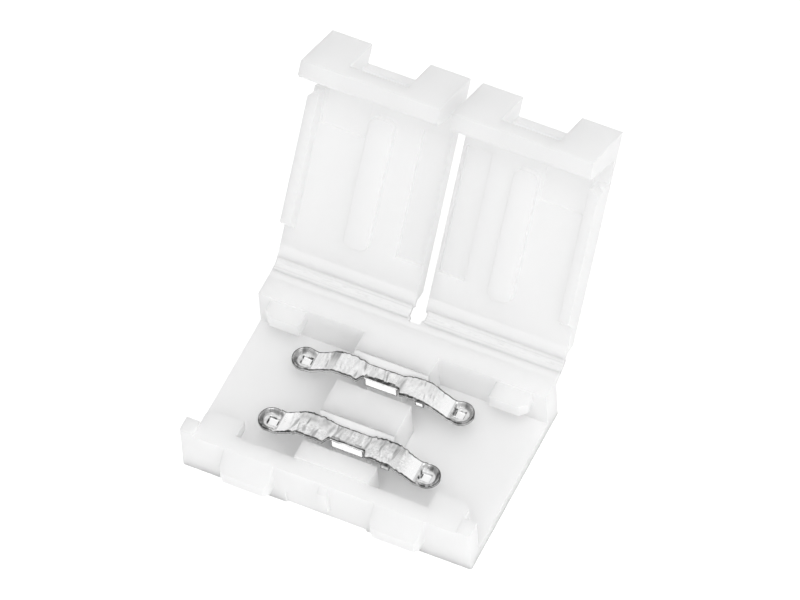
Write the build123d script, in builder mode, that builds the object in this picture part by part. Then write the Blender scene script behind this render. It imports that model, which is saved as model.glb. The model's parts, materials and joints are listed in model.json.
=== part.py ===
from build123d import *
from math import cos, radians, sin, sqrt
import os

# A two-pin snap connector for 8 mm light strip, in millimetres, with both covers open.
# X runs along the strip, Y from the latch side to the hinge side, Z up.
# The origin is the middle of the base's underside.

# Light strip that the channel takes
strip_width = 8.0
strip_play = 0.2

# Base moulding
base_length = 16.0
base_height = 3.0
floor_thickness = 0.7
front_wall = 0.9
rear_wall = 1.2
rail_drop = 0.15
end_pad_length = 0.75
corner_round = 0.12

# Lug behind the rear wall that carries the hinge films
nose_reach = 0.6
nose_root_drop = 0.5
nose_slot_depth = 0.3

# Hold-down tabs, under which the strip slides
tab_length = 1.98
tab_reach = 1.0
tab_thickness = 0.8
tab_centre = 6.27
tab_chamfer = 0.35

# Blocks in the middle, and the seats that carry the contacts
block_length = 4.1
seat_length = 1.9
seat_drop = 0.53
front_row_inset = 2.05
rear_row_inset = 2.15
row_slot = 1.0

# Latch wedges, guide and recess on the front wall
wedge_length = 2.7
wedge_reach = 0.88
wedge_face = 0.75
wedge_centre = 4.14
wedge_chamfer = 0.22
guide_width = 0.5
guide_reach = 0.3
guide_foot = 0.7
guide_drop = 0.25
recess_length = 4.4
recess_height = 0.9
recess_depth = 0.1

# Covers, whose sizes are those of the closed cover
cover_slot = 0.62
plate_thickness = 0.9
skirt_tip = 1.0
skirt_draft = 0.131
skirt_lift = 0.06
lead_in = 0.2
latch_bar = 1.03
latch_leg = 2.25
latch_overhang = 0.53
open_angle = 124.0

# Cover details on the inner face
lip_width = 0.6
lip_height = 0.8
lip_slope = 0.45
lip_chamfer = 0.35
lip_front_gap = 0.3
lip_rear_gap = 0.1
relief_depth = 0.55
rib_width = 1.35
rib_height = 0.42
rib_centre = 3.98
rib_front_gap = 0.7
rib_rear_gap = 0.3
rib_round = 0.45
pocket_width = 1.4
pocket_depth = 0.3
pocket_rim = 0.18
pocket_front_gap = 0.6
pocket_rear_gap = 0.5
step_length = 2.1
step_depth = 0.08
step_gap = 0.14

# Hinge film, and the cover's edge that it joins
film_thickness = 0.22
film_span = 0.46
film_inset = 0.11
land_length = 0.3
bevel_length = 0.33

# Clearances of the closed cover
plate_gap = 0.03
skirt_gap = 0.08
latch_play = 0.06

# Contacts, which are bent from sheet
sheet = 0.22
arm_width = 1.2
waist_length = 2.0
waist_rear = 0.57
hump_rise = 0.23
hump_start = 1.4
hump_end = 2.5
crease = 3.78
bend_round = 0.25
spoon_centre = 4.33
spoon_radius = 0.65
spoon_drop = 0.8
dish_radius = 0.5
dish_depth = 0.24
tooth_width = 0.45
tooth_depth = 0.16
tooth_taper = 20
leg_length = 1.75
leg_height = 0.72
leg_reach = 0.25
lug_length = 0.46
lug_height = 0.3
lug_centre = 2.27
contact_shift = -0.1

# Places that follow from the sizes
channel_width = strip_width + strip_play
base_depth = front_wall + channel_width + rear_wall
front = -base_depth / 2
rear = base_depth / 2
channel_front = front + front_wall
channel_rear = rear - rear_wall
rail_top = base_height - rail_drop
seat_top = base_height - seat_drop
front_row = channel_front + front_row_inset
rear_row = channel_rear - rear_row_inset
nose_end = rear + nose_reach
cover_end = base_length / 2
slot_half = cover_slot / 2
plate_inner = base_height + plate_gap
plate_outer = plate_inner + plate_thickness
skirt_inner = front - skirt_gap
skirt_foot = skirt_inner - skirt_tip
bar_top = skirt_lift + latch_bar
wedge_foot = bar_top + latch_play

# Hinge axis, and planes that carry the closed cover's own coordinates to where it stands open
hinge_y = nose_end + film_span / 2
hinge_z = base_height
swing = radians(open_angle)
closed_origin = (
    0,
    hinge_y - hinge_y * cos(swing) - hinge_z * sin(swing),
    hinge_z + hinge_y * sin(swing) - hinge_z * cos(swing),
)
cover_section = Plane(origin=closed_origin, x_dir=(0, cos(swing), -sin(swing)), z_dir=(1, 0, 0))
cover_plan = Plane(origin=closed_origin, x_dir=(1, 0, 0), z_dir=(0, sin(swing), cos(swing)))

# Base: floor, walls and hinge lug in one section
with BuildPart() as base:
    with BuildSketch(Plane.YZ.offset(-base_length / 2)):
        with BuildLine():
            Polyline(
                (front, 0),
                (rear, 0),
                (rear, base_height - nose_root_drop),
                (nose_end, base_height - film_thickness),
                (nose_end, base_height),
                (channel_rear, base_height),
                (channel_rear, floor_thickness),
                (channel_front, floor_thickness),
                (channel_front, base_height),
                (front, base_height),
                close=True,
            )
        make_face()
    extrude(amount=base_length)
    front_corners = base.edges().filter_by(Axis.Z).group_by(Axis.Y)[0]
    fillet(front_corners, corner_round)

    # The front wall is lower between its end pads
    with BuildSketch(Plane.XY.offset(rail_top)):
        with Locations((0, front)):
            Rectangle(base_length - 2 * end_pad_length, 2 * front_wall)
    extrude(amount=rail_drop, mode=Mode.SUBTRACT)

    # The slot between the covers runs on into the lug
    with BuildSketch():
        with Locations((0, nose_end)):
            Rectangle(cover_slot, 2 * nose_slot_depth)
    extrude(amount=base_height, mode=Mode.SUBTRACT)

    # Shallow recess low on the front face
    with BuildSketch():
        with Locations((0, front)):
            Rectangle(recess_length, 2 * recess_depth)
    extrude(amount=recess_height, mode=Mode.SUBTRACT)

    # Blocks in front of, between and behind the two contacts
    with BuildSketch(Plane.XY.offset(floor_thickness)):
        for block_front, block_rear in (
            (channel_front, front_row - row_slot),
            (front_row + row_slot, rear_row - row_slot),
            (rear_row + row_slot, channel_rear),
        ):
            with Locations((0, (block_front + block_rear) / 2)):
                Rectangle(block_length, block_rear - block_front)
    extrude(amount=base_height - floor_thickness)

    # Seats, each a shelf in front of the block behind its contact
    seat_depth = row_slot + leg_reach - sheet
    with BuildSketch(Plane.XY.offset(floor_thickness)):
        with Locations((0, front_row + row_slot), (0, rear_row + row_slot)):
            Rectangle(seat_length, seat_depth, align=(Align.CENTER, Align.MAX))
    extrude(amount=seat_top - floor_thickness)

    # Hold-down tabs on both walls, with their outer corners cut off
    with BuildSketch(Plane.XY.offset(rail_top - tab_thickness)):
        for wall, inward in ((channel_front, 1), (channel_rear, -1)):
            for side in (-1, 1):
                near = side * (tab_centre - tab_length / 2)
                far = side * (tab_centre + tab_length / 2)
                edge = wall + inward * tab_reach
                with BuildLine():
                    Polyline(
                        (near, wall),
                        (near, edge),
                        (far - side * tab_chamfer, edge),
                        (far, edge - inward * tab_chamfer),
                        (far, wall),
                        close=True,
                    )
                make_face()
    extrude(amount=tab_thickness)

    # Latch wedges: a ramp, an upright face and a flat foot that the cover's bar snaps under
    for side in (-1, 1):
        with BuildSketch(Plane.YZ.offset(side * wedge_centre)):
            with BuildLine():
                Polyline(
                    (front, rail_top),
                    (front - wedge_reach, wedge_foot + wedge_face),
                    (front - wedge_reach, wedge_foot),
                    (front, wedge_foot),
                    close=True,
                )
            make_face()
        extrude(amount=wedge_length / 2, both=True)
    wedge_corners = base.edges().filter_by(Axis.Z).group_by(Axis.Y)[0]
    chamfer(wedge_corners, wedge_chamfer)

    # Guide between the two skirts, rooted behind the recess
    with BuildSketch(Plane.YZ):
        with BuildLine():
            Polyline(
                (front + recess_depth, rail_top - guide_drop),
                (front, rail_top - guide_drop),
                (front - guide_reach, rail_top - guide_drop - guide_reach),
                (front - guide_reach, guide_foot + guide_reach),
                (front, guide_foot),
                (front + recess_depth, guide_foot),
                close=True,
            )
        make_face()
    extrude(amount=guide_width / 2, both=True)

# Right cover: plate and skirt in one section, drawn closed and standing open
with BuildPart() as right_cover:
    cover_width = cover_end - slot_half
    slope = skirt_draft * (plate_outer - skirt_lift)
    land_edge = nose_end - land_length
    with BuildSketch(cover_section.offset(slot_half)):
        with BuildLine():
            Polyline(
                (nose_end, plate_inner),
                (nose_end, plate_inner + film_thickness),
                (land_edge, plate_inner + film_thickness),
                (land_edge - bevel_length, plate_outer),
                (skirt_foot - slope, plate_outer),
                (skirt_foot, skirt_lift),
                (skirt_inner - lead_in, skirt_lift),
                (skirt_inner, skirt_lift + lead_in),
                (skirt_inner, plate_inner),
                close=True,
            )
        make_face()
    extrude(amount=cover_width)

    # Window for the wedge, with a bar below it and a leg at each side
    with BuildSketch(cover_section.offset(slot_half + latch_leg)):
        with BuildLine():
            Polyline(
                (skirt_inner, bar_top),
                (skirt_inner, plate_inner),
                (front - latch_overhang, plate_inner),
                (front - latch_overhang, plate_outer),
                (skirt_foot - 2 * slope, plate_outer),
                (skirt_foot - 2 * slope, bar_top),
                close=True,
            )
        make_face()
    extrude(amount=cover_width - 2 * latch_leg, mode=Mode.SUBTRACT)

    # Lip along the outer end, which drops between the walls of the base
    lip_front = channel_front + lip_front_gap
    lip_rear = channel_rear - lip_rear_gap
    lip_foot = plate_inner - lip_height
    with BuildSketch(cover_section.offset(cover_end - lip_width)):
        with BuildLine():
            Polyline(
                (lip_front, plate_inner),
                (lip_front, lip_foot),
                (lip_rear - lip_slope, lip_foot),
                (lip_rear, plate_inner),
                close=True,
            )
        make_face()
    extrude(amount=lip_width)
    with BuildSketch(cover_plan.offset(lip_foot)):
        with BuildLine():
            Polyline(
                (cover_end - lip_chamfer, lip_front),
                (cover_end, lip_front),
                (cover_end, lip_front + lip_chamfer),
                close=True,
            )
        make_face()
    extrude(amount=lip_height, mode=Mode.SUBTRACT)

    # Relief between the lip and the skirt, open to the end face
    with BuildSketch(cover_plan.offset(plate_inner)):
        with Locations((cover_end, lip_front)):
            Rectangle(lip_width, lip_front - skirt_inner, align=(Align.MAX, Align.MAX))
    extrude(amount=relief_depth, mode=Mode.SUBTRACT)

    # Rib that bears on the contacts' spoons
    rib_front = channel_front + rib_front_gap
    rib_rear = channel_rear - rib_rear_gap
    with BuildSketch(cover_plan.offset(plate_inner - rib_height)):
        with Locations((rib_centre, (rib_front + rib_rear) / 2)):
            RectangleRounded(rib_width, rib_rear - rib_front, rib_round)
    extrude(amount=rib_height)

    # Pocket over the middle blocks, with a rim left along the slot
    pocket_front = channel_front + pocket_front_gap
    pocket_rear = channel_rear - pocket_rear_gap
    with BuildSketch(cover_plan.offset(plate_inner)):
        with Locations((slot_half + pocket_rim, pocket_front)):
            Rectangle(pocket_width, pocket_rear - pocket_front, align=(Align.MIN, Align.MIN))
    extrude(amount=pocket_depth, mode=Mode.SUBTRACT)

    # Shallow step beside the lip, over the front tab
    step_start = rib_centre + rib_width / 2 + step_gap
    step_end = cover_end - lip_width - step_gap
    with BuildSketch(cover_plan.offset(plate_inner)):
        with Locations((step_start, channel_front)):
            Rectangle(step_end - step_start, step_length, align=(Align.MIN, Align.MIN))
    extrude(amount=step_depth, mode=Mode.SUBTRACT)

with BuildPart() as left_cover:
    mirror(right_cover.part, about=Plane.YZ)

# Right hinge film: a thin web from the lug to the cover, bent as it stands
with BuildPart() as right_hinge_film:
    film_start = slot_half + film_inset
    root_top = Vector(nose_end, base_height)
    root_foot = Vector(nose_end, base_height - film_thickness)
    land_inner = cover_section.from_local_coords((nose_end, plate_inner, 0))
    land_outer = cover_section.from_local_coords((nose_end, plate_inner + film_thickness, 0))
    inner_corner = Vector(land_inner.Y, land_inner.Z)
    outer_corner = Vector(land_outer.Y, land_outer.Z)
    with BuildSketch(Plane.YZ.offset(film_start)):
        with BuildLine():
            TangentArc(root_top, inner_corner, tangent=(1, 0))
            Line(inner_corner, outer_corner)
            TangentArc(root_foot, outer_corner, tangent=(1, 0))
            Line(root_foot, root_top)
        make_face()
    extrude(amount=cover_end - film_start)

with BuildPart() as left_hinge_film:
    mirror(right_hinge_film.part, about=Plane.YZ)

# Contact about its own middle: waist, humps, arms and a dished spoon at each end
with BuildPart() as contact:
    waist_top = seat_top + sheet
    hump_top = waist_top + hump_rise
    rim_top = hump_top - spoon_drop
    spoon_end = spoon_centre + spoon_radius
    with BuildSketch(Plane.XZ):
        with BuildLine():
            FilletPolyline(
                (-spoon_end, rim_top),
                (-crease, rim_top),
                (-hump_end, hump_top),
                (-hump_start, hump_top),
                (-waist_length / 2, waist_top),
                (waist_length / 2, waist_top),
                (hump_start, hump_top),
                (hump_end, hump_top),
                (crease, rim_top),
                (spoon_end, rim_top),
                radius=bend_round,
            )
            offset(amount=sheet, side=Side.RIGHT)
        make_face()
    extrude(amount=spoon_radius, both=True)

    # Outline seen from above
    with BuildSketch():
        Rectangle(2 * spoon_centre, arm_width)
        with Locations((-spoon_centre, 0), (spoon_centre, 0)):
            Circle(spoon_radius)
        with Locations((0, waist_rear)):
            Rectangle(waist_length, arm_width, align=(Align.CENTER, Align.MIN), mode=Mode.SUBTRACT)
        with Locations((0, -leg_reach)):
            Rectangle(waist_length, arm_width, align=(Align.CENTER, Align.MAX), mode=Mode.SUBTRACT)
    extrude(amount=base_height, mode=Mode.INTERSECT)

    # Leg folded down in front of the seat, and the small lug on the right arm
    with BuildSketch(Plane.XZ.offset(leg_reach)):
        with Locations((0, waist_top)):
            Rectangle(leg_length, leg_height, align=(Align.CENTER, Align.MAX))
    extrude(amount=-sheet)
    with BuildSketch(Plane.XZ.offset(arm_width / 2)):
        with Locations((lug_centre, hump_top)):
            Rectangle(lug_length, lug_height, align=(Align.CENTER, Align.MAX))
    extrude(amount=-sheet)

    # Each spoon is pressed into a dish
    bowl = (dish_radius**2 + dish_depth**2) / (2 * dish_depth)
    back_radius = sqrt((bowl + sheet) ** 2 - (bowl - dish_depth + sheet) ** 2)
    for x in (-spoon_centre, spoon_centre):
        spoon = Plane(origin=(x, 0, rim_top), x_dir=(1, 0, 0), z_dir=(0, -1, 0))
        with BuildSketch(spoon):
            with BuildLine():
                Line((0, -sheet), (back_radius, -sheet))
                RadiusArc((back_radius, -sheet), (0, -dish_depth - sheet), bowl + sheet)
                Line((0, -dish_depth - sheet), (0, -sheet))
            make_face()
        revolve(axis=Axis((x, 0, 0), (0, 0, 1)))
        with BuildSketch(spoon):
            with BuildLine():
                Line((0, 0), (dish_radius, 0))
                RadiusArc((dish_radius, 0), (0, -dish_depth), bowl)
                Line((0, -dish_depth), (0, 0))
            make_face()
        revolve(axis=Axis((x, 0, 0), (0, 0, 1)), mode=Mode.SUBTRACT)

    # A hollow square tooth stands down from the middle of each dish
    tooth_foot = dish_depth + sheet + tooth_depth
    with BuildSketch(Plane.XY.offset(rim_top - dish_depth)):
        with Locations((-spoon_centre, 0), (spoon_centre, 0)):
            Rectangle(tooth_width + sheet, tooth_width + sheet)
    extrude(amount=dish_depth - tooth_foot, taper=tooth_taper)
    with BuildSketch(Plane.XY.offset(rim_top)):
        with Locations((-spoon_centre, 0), (spoon_centre, 0)):
            Rectangle(tooth_width, tooth_width)
    extrude(amount=sheet - tooth_foot, taper=tooth_taper, mode=Mode.SUBTRACT)

with BuildPart() as front_contact:
    with Locations((contact_shift, front_row, 0)):
        add(contact.part)

with BuildPart() as rear_contact:
    with Locations((contact_shift, rear_row, 0)):
        add(contact.part)

os.makedirs("parts", exist_ok=True)

base.part.label = "base"
export_step(base.part, "parts/base.step")

left_cover.part.label = "left_cover"
export_step(left_cover.part, "parts/left_cover.step")

right_cover.part.label = "right_cover"
export_step(right_cover.part, "parts/right_cover.step")

left_hinge_film.part.label = "left_hinge_film"
export_step(left_hinge_film.part, "parts/left_hinge_film.step")

right_hinge_film.part.label = "right_hinge_film"
export_step(right_hinge_film.part, "parts/right_hinge_film.step")

front_contact.part.label = "front_contact"
export_step(front_contact.part, "parts/front_contact.step")

rear_contact.part.label = "rear_contact"
export_step(rear_contact.part, "parts/rear_contact.step")
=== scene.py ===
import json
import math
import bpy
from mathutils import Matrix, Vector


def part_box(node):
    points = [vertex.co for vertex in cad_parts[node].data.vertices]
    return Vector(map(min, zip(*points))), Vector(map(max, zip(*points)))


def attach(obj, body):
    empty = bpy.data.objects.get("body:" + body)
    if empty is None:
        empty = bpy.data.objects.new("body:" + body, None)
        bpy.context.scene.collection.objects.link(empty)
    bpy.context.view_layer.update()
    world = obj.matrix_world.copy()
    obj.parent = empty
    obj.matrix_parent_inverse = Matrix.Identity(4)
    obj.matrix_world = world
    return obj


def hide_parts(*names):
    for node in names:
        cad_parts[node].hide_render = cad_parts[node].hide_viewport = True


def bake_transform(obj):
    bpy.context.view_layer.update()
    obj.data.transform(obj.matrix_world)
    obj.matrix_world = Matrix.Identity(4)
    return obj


bl_info = {
    "name": "LED strip connector",
    "version": (1, 0, 0),
    "blender": (4, 5, 0),
    "location": "View3D > Sidebar > Connector",
    "description": "Dresses the strip connector with mouldings, sprung contacts and a studio",
    "category": "Object",
}

import bmesh
import bpy
from bpy.props import FloatProperty, FloatVectorProperty, PointerProperty
from mathutils import Matrix, Vector, noise

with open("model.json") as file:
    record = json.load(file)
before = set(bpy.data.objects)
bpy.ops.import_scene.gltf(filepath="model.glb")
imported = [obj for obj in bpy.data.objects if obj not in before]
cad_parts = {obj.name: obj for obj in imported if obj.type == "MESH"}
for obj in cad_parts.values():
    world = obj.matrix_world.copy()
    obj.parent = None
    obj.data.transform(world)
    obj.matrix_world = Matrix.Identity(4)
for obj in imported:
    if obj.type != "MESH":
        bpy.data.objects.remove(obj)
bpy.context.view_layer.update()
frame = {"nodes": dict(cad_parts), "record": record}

MM = 0.001


# Sizes and colours that a user would change


class ConnectorPlastic(bpy.types.PropertyGroup):
    edge_radius: FloatProperty(
        name="Edge radius",
        description="Radius of the soft edges left by the mould",
        default=0.05 * MM,
        min=0.0,
        subtype="DISTANCE",
        unit="LENGTH",
        precision=6,
    )
    colour: FloatVectorProperty(
        name="Plastic colour",
        description="Colour of the natural frosted plastic",
        subtype="COLOR",
        size=3,
        default=(0.96, 0.96, 0.96),
        min=0.0,
        max=1.0,
    )
    cloud: FloatVectorProperty(
        name="Cloudy colour",
        description="Colour of the slightly duller patches in the plastic",
        subtype="COLOR",
        size=3,
        default=(0.945, 0.945, 0.945),
        min=0.0,
        max=1.0,
    )
    grain: FloatProperty(
        name="Grain size",
        description="Size of the fine spark-eroded grain on the moulded faces",
        default=0.07 * MM,
        min=0.0,
        subtype="DISTANCE",
        unit="LENGTH",
        precision=6,
    )
    film: FloatProperty(
        name="Film thickness",
        description="Thickness of the hinge films where they bend",
        default=0.2 * MM,
        min=0.0,
        subtype="DISTANCE",
        unit="LENGTH",
        precision=6,
    )
    film_colour: FloatVectorProperty(
        name="Film colour",
        description="Colour of the hinge films between their creases",
        subtype="COLOR",
        size=3,
        default=(0.88, 0.88, 0.88),
        min=0.0,
        max=1.0,
    )
    # Colour of the painted shade along the films' creases and on their crumples
    crease_shade: FloatVectorProperty(
        name="Crease shade colour",
        description="Colour of the painted shade along the hinge films' creases and crumples",
        subtype="COLOR",
        size=3,
        default=(0.79, 0.79, 0.79),
        min=0.0,
        max=1.0,
    )


class ConnectorContact(bpy.types.PropertyGroup):
    colour: FloatVectorProperty(
        name="Plating colour",
        description="Colour of the bright plating",
        subtype="COLOR",
        size=3,
        default=(0.94, 0.94, 0.94),
        min=0.0,
        max=1.0,
    )
    # Colour of the painted shade and reflections on the contacts, and of their dull haze
    tarnish_and_shade: FloatVectorProperty(
        name="Tarnish and shade colour",
        description="Colour of the painted shade and reflections in the folds, bends and crinkles and along the edges, and of the dull haze",
        subtype="COLOR",
        size=3,
        default=(0.06, 0.06, 0.06),
        min=0.0,
        max=1.0,
    )
    crinkle: FloatProperty(
        name="Crinkle depth",
        description="How far the thin sheet is pushed out of true by its bending",
        default=0.014 * MM,
        min=0.0,
        subtype="DISTANCE",
        unit="LENGTH",
        precision=6,
    )
    sheet: FloatProperty(
        name="Sheet thickness",
        description="Thickness of the contact sheet",
        default=0.2 * MM,
        min=0.0,
        subtype="DISTANCE",
        unit="LENGTH",
        precision=6,
    )


class ConnectorStudio(bpy.types.PropertyGroup):
    table: FloatVectorProperty(
        name="Tabletop colour",
        description="Colour of the plain tabletop",
        subtype="COLOR",
        size=3,
        default=(0.97, 0.97, 0.97),
        min=0.0,
        max=1.0,
    )
    dome: FloatProperty(
        name="Dome strength",
        description="Strength of the even light from all round",
        default=0.82,
        min=0.0,
    )
    overhead: FloatProperty(
        name="Overhead lamp power",
        description="Power of the large soft lamp above the part",
        default=0.16,
        min=0.0,
        subtype="POWER",
        unit="POWER",
    )
    key: FloatProperty(
        name="Key lamp power",
        description="Power of the soft lamp beside the camera",
        default=0.40,
        min=0.0,
        subtype="POWER",
        unit="POWER",
    )


# How milky each plastic looks, from 0 to 1, and how far light travels in it, in millimetres

PLASTICS = {
    "Frosted plastic of the base": (1.0, 2.4),
    "Thin frosted plastic": (0.5, 0.7),
    "Frosted plastic at the hinge": (0.7, 1.2),
    "Thick frosted plastic": (1.0, 3.4),
    "Frosted plastic of the outer walls": (0.85, 1.7),
    "Frosted plastic of the inner walls": (1.0, 1.3),
    "Sloped frosted plastic": (0.0, 0.5),
    "Frosted plastic of the covers": (1.0, 3.0),
    "Frosted plastic of the skirts": (1.0, 6.0),
}
BASE_PLASTICS = (
    "Frosted plastic of the base",
    "Thin frosted plastic",
    "Frosted plastic at the hinge",
    "Thick frosted plastic",
    "Frosted plastic of the outer walls",
    "Frosted plastic of the inner walls",
)
COVER_PLASTICS = (
    "Frosted plastic of the covers",
    "Frosted plastic at the hinge",
    "Frosted plastic of the skirts",
)
PLASTIC_IOR = 1.49
FILM_MILK = 0.15
FILM_TRAVEL = 0.3

# Where the plastics meet on the base and on a closed cover, in millimetres

INNER_X = 7.9
INNER_FRONT = -4.9
INNER_REAR = 5.0
LOW_WALL = 1.2
BLOCK_X = 2.1
BLOCK_Y = 1.5
BLOCK_Z = 2.9
NOSE_START = 5.16
LAND_START = 4.9
SKIRT_START = -5.1

# Slopes on the blocks: half their length, and their section in (y, z) from the contact's middle

RAMP_X = 2.05
RAMP_SECTION = ((0.62, 2.45), (1.06, 3.004), (1.06, 2.45))
RAMP_BEVEL = 0.02

# Hinge in (y, z), its films and how they crumple, in millimetres

NOSE_END = (5.75, 3.0)
COVER_FACE = 3.03
HINGE = (5.98, 3.0)
OPEN_TURN = math.radians(-124)
LAP = 0.14
PROUD = 0.004
FILM_EASE = 0.17
FILM_STEPS = 110
CRUMPLE = 0.02

# Contact shape about the contact's own middle, in millimetres

WAIST_TOP = 2.69
HUMP_TOP = 2.92
RIM_TOP = 2.12
PROFILE = (
    (0.0, WAIST_TOP),
    (1.0, WAIST_TOP),
    (1.4, HUMP_TOP),
    (2.5, HUMP_TOP),
    (3.78, RIM_TOP),
    (5.2, RIM_TOP),
)
BEND_REACH = 0.13
CONTACT_REAR = 0.65
WAIST_FRONT = 0.25
SPOON_X = 4.3
SPOON_R = 0.69
NECK_X = 4.05
CREASE_X = 3.82
TROUGH_RIM = (0.10, 0.27)
TROUGH_DEPTH = 0.18
CURL_RIM = 0.07
CURL_WIDTH = 0.05
CURL_RISE = 0.04
TOOTH_X = 4.2
TOOTH_ALONG = (0.26, 0.32)
TOOTH_ACROSS = (0.21, 0.27)
TOOTH_DEPTH = 0.14
CORNER = 0.03
STEP = 0.028
TIP_STEPS = 46
SHEET_STEPS = 40
UNDER_STEPS = 10
STRIP_STEPS = 30

# The folded leg and lug, as (y, z) from their folds, in millimetres

LEG_HALF = 0.875
FOLD_HALF = 0.92
LEG_FOLD = (
    (-0.06, 2.685),
    (-0.14, 2.685),
    (-0.19, 2.675),
    (-0.225, 2.65),
    (-0.245, 2.61),
    (-0.25, 2.56),
)
LEG_PITCH = 0.04
LEG_FOOT = 1.97
LUG_START = 2.13
LUG_END = 2.59
LUG_FOLD = ((0.1, 2.905), (0.06, 2.905), (0.03, 2.89), (0.008, 2.86))
LUG_HEIGHTS = (2.82, 2.76, 2.7, 2.64, 2.58)
LUG_REACH = 0.1
LEG_ZONE = 0.9
LUG_ZONE = (2.1, 2.62)
LUG_FACE = -0.72
BOWED = (0.0, -0.55, 0.83)

# How each contact lies, how its edges run and how strong its marks are, in millimetres and degrees

# The marks below set painted shade on the bends before the spoons, on the humps' rear, along the
# crinkles and along the leg's fold, as well as a darker waist, haze, a darker lug and dark spans
# along the edges
ROWS = {
    "front": {
        "seed": 2.0,
        "skew": 0.0,
        "shift": (0.05, 0.05),
        "half": 0.7,
        "back": 0.68,
        "wave": 2.2,
        "left": 0.2,
        "right": 0.35,
        "hump_shade": 0.4,
        "streak": 0.6,
        "waist": 0.5,
        "fold_shade": 0.6,
        "film": 0.3,
        "lug": 0.5,
        "dark_spans": ((-3.0, -1.7, "rear"), (1.2, 2.6, "rear"), (-3.2, -2.5, "front")),
    },
    "rear": {
        "seed": 9.0,
        "skew": 0.7,
        "shift": (0.0, 0.1),
        "half": 0.64,
        "back": 0.6,
        "wave": 1.2,
        "left": 0.4,
        "right": 0.15,
        "hump_shade": 0.15,
        "streak": 0.25,
        "waist": 0.35,
        "fold_shade": 1.0,
        "film": 0.16,
        "lug": 0.0,
        "dark_spans": ((0.9, 2.1, "front"), (-3.0, -2.4, "rear")),
    },
}

# Studio, in metres and degrees

TABLE_HALF = 0.6
TABLE_GAP = 0.03 * MM
TABLE_SEEN = 0.45
TABLE_THROUGH = 0.9
DOME_LEAN = (0.11, 0.0, 0.0)
LAMP_SIZE = 0.30
LAMP_AIM = (0.0, 0.0, 0.004)
OVERHEAD_PLACE = (0.07, -0.06, 0.36)
KEY_PLACE = (0.12, -0.19, 0.32)
CAMERA_LENS = 391.84
CAMERA_PLACE = (0.1208195, -0.2153814, 0.3609797)
CAMERA_TURN = (35.1907, 2.5230, 25.2525)


# Mesh helpers

WELD = 0.001
FLAT_ANGLE = math.radians(0.5)
SHARP_ANGLE = math.radians(20)


def add_piece(name, mesh, slot, *materials):
    """Links a mesh as a piece with the given materials; the slot it is given is not used."""
    for material in materials:
        mesh.materials.append(material)
    piece = bpy.data.objects.new(name, mesh)
    bpy.context.scene.collection.objects.link(piece)
    return piece


def order_faces(bm):
    """Puts the faces in the order of their points, so that each run writes the same mesh."""
    bm.verts.index_update()
    ordered = sorted(bm.faces, key=lambda face: [vert.index for vert in face.verts])
    places = {face: place for place, face in enumerate(ordered)}
    bm.faces.sort(key=places.get)


def softened_mesh(node, name, radius, cut, way):
    """A copy of a CAD node's mesh with rounded edges.

    A plane through cut and square to way divides its faces, so that two plastics can meet there.
    """
    bm = bmesh.new()
    bm.from_mesh(frame["nodes"][node].data)
    bmesh.ops.scale(bm, vec=(1 / MM, 1 / MM, 1 / MM), verts=bm.verts)
    bmesh.ops.remove_doubles(bm, verts=bm.verts, dist=WELD)
    bmesh.ops.dissolve_limit(
        bm,
        angle_limit=FLAT_ANGLE,
        verts=bm.verts,
        edges=bm.edges,
        use_dissolve_boundaries=False,
    )
    sharp = [e for e in bm.edges if len(e.link_faces) == 2 and e.calc_face_angle(0.0) > SHARP_ANGLE]
    bmesh.ops.bevel(
        bm,
        geom=sharp,
        offset=radius / MM,
        offset_type="OFFSET",
        segments=3,
        profile=0.5,
        affect="EDGES",
        clamp_overlap=True,
    )
    bmesh.ops.scale(bm, vec=(MM, MM, MM), verts=bm.verts)
    whole = bm.verts[:] + bm.edges[:] + bm.faces[:]
    bmesh.ops.bisect_plane(bm, geom=whole, dist=0.0, plane_co=cut, plane_no=way)
    bmesh.ops.remove_doubles(bm, verts=bm.verts, dist=WELD * MM)
    order_faces(bm)
    bm.normal_update()
    mesh = bpy.data.meshes.new(name)
    bm.to_mesh(mesh)
    bm.free()
    mesh.shade_smooth()
    return mesh


def weight_normals(piece):
    """Keeps the flat faces of a rounded piece flat in the shading."""
    modifier = piece.modifiers.new("Flat faces", "WEIGHTED_NORMAL")
    modifier.mode = "FACE_AREA"
    modifier.weight = 90


def add_moulding(node, cut, way, plastics, choose):
    """Adds a softened copy of a CAD node, with the plastic that choose names on each face."""
    name = f"{node}_moulding"
    radius = bpy.context.scene.connector_plastic.edge_radius
    mesh = softened_mesh(node, name, radius, cut, way)
    piece = add_piece(name, mesh, "housing", *[plastic_material(plastic) for plastic in plastics])
    for face in mesh.polygons:
        face.material_index = plastics.index(choose(face))
    weight_normals(piece)
    return piece


def join_loops(bm, loops, layer):
    """Joins a row of closed loops of (point, value) into one closed skin that keeps the values."""
    rings = []
    for loop in loops:
        ring = []
        for point, value in loop:
            vert = bm.verts.new(point)
            vert[layer] = value
            ring.append(vert)
        rings.append(ring)
    count = len(rings[0])
    for ring, following in zip(rings, rings[1:]):
        for j in range(count):
            k = (j + 1) % count
            bm.faces.new((ring[j], following[j], following[k], ring[k]))
    bm.faces.new(rings[0])
    bm.faces.new(reversed(rings[-1]))


def finished_mesh(bm, name):
    """Turns a millimetre mesh into a smooth mesh in metres, with its faces outward."""
    bmesh.ops.recalc_face_normals(bm, faces=bm.faces)
    bmesh.ops.scale(bm, vec=(MM, MM, MM), verts=bm.verts)
    mesh = bpy.data.meshes.new(name)
    bm.to_mesh(mesh)
    bm.free()
    mesh.shade_smooth()
    return mesh


# Curves of change


def ramp(value, low, high):
    """0 below low, 1 above high and smooth between."""
    t = min(max((value - low) / (high - low), 0.0), 1.0)
    return t * t * (3 - 2 * t)


def band(value, low, high, soft):
    """1 between low and high, fading to 0 over a soft margin."""
    return ramp(value, low - soft, low) * (1 - ramp(value, high, high + soft))


def bell(value, middle, width):
    """1 at the middle, falling off smoothly over a width."""
    return math.exp(-(((value - middle) / width) ** 2))


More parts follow.
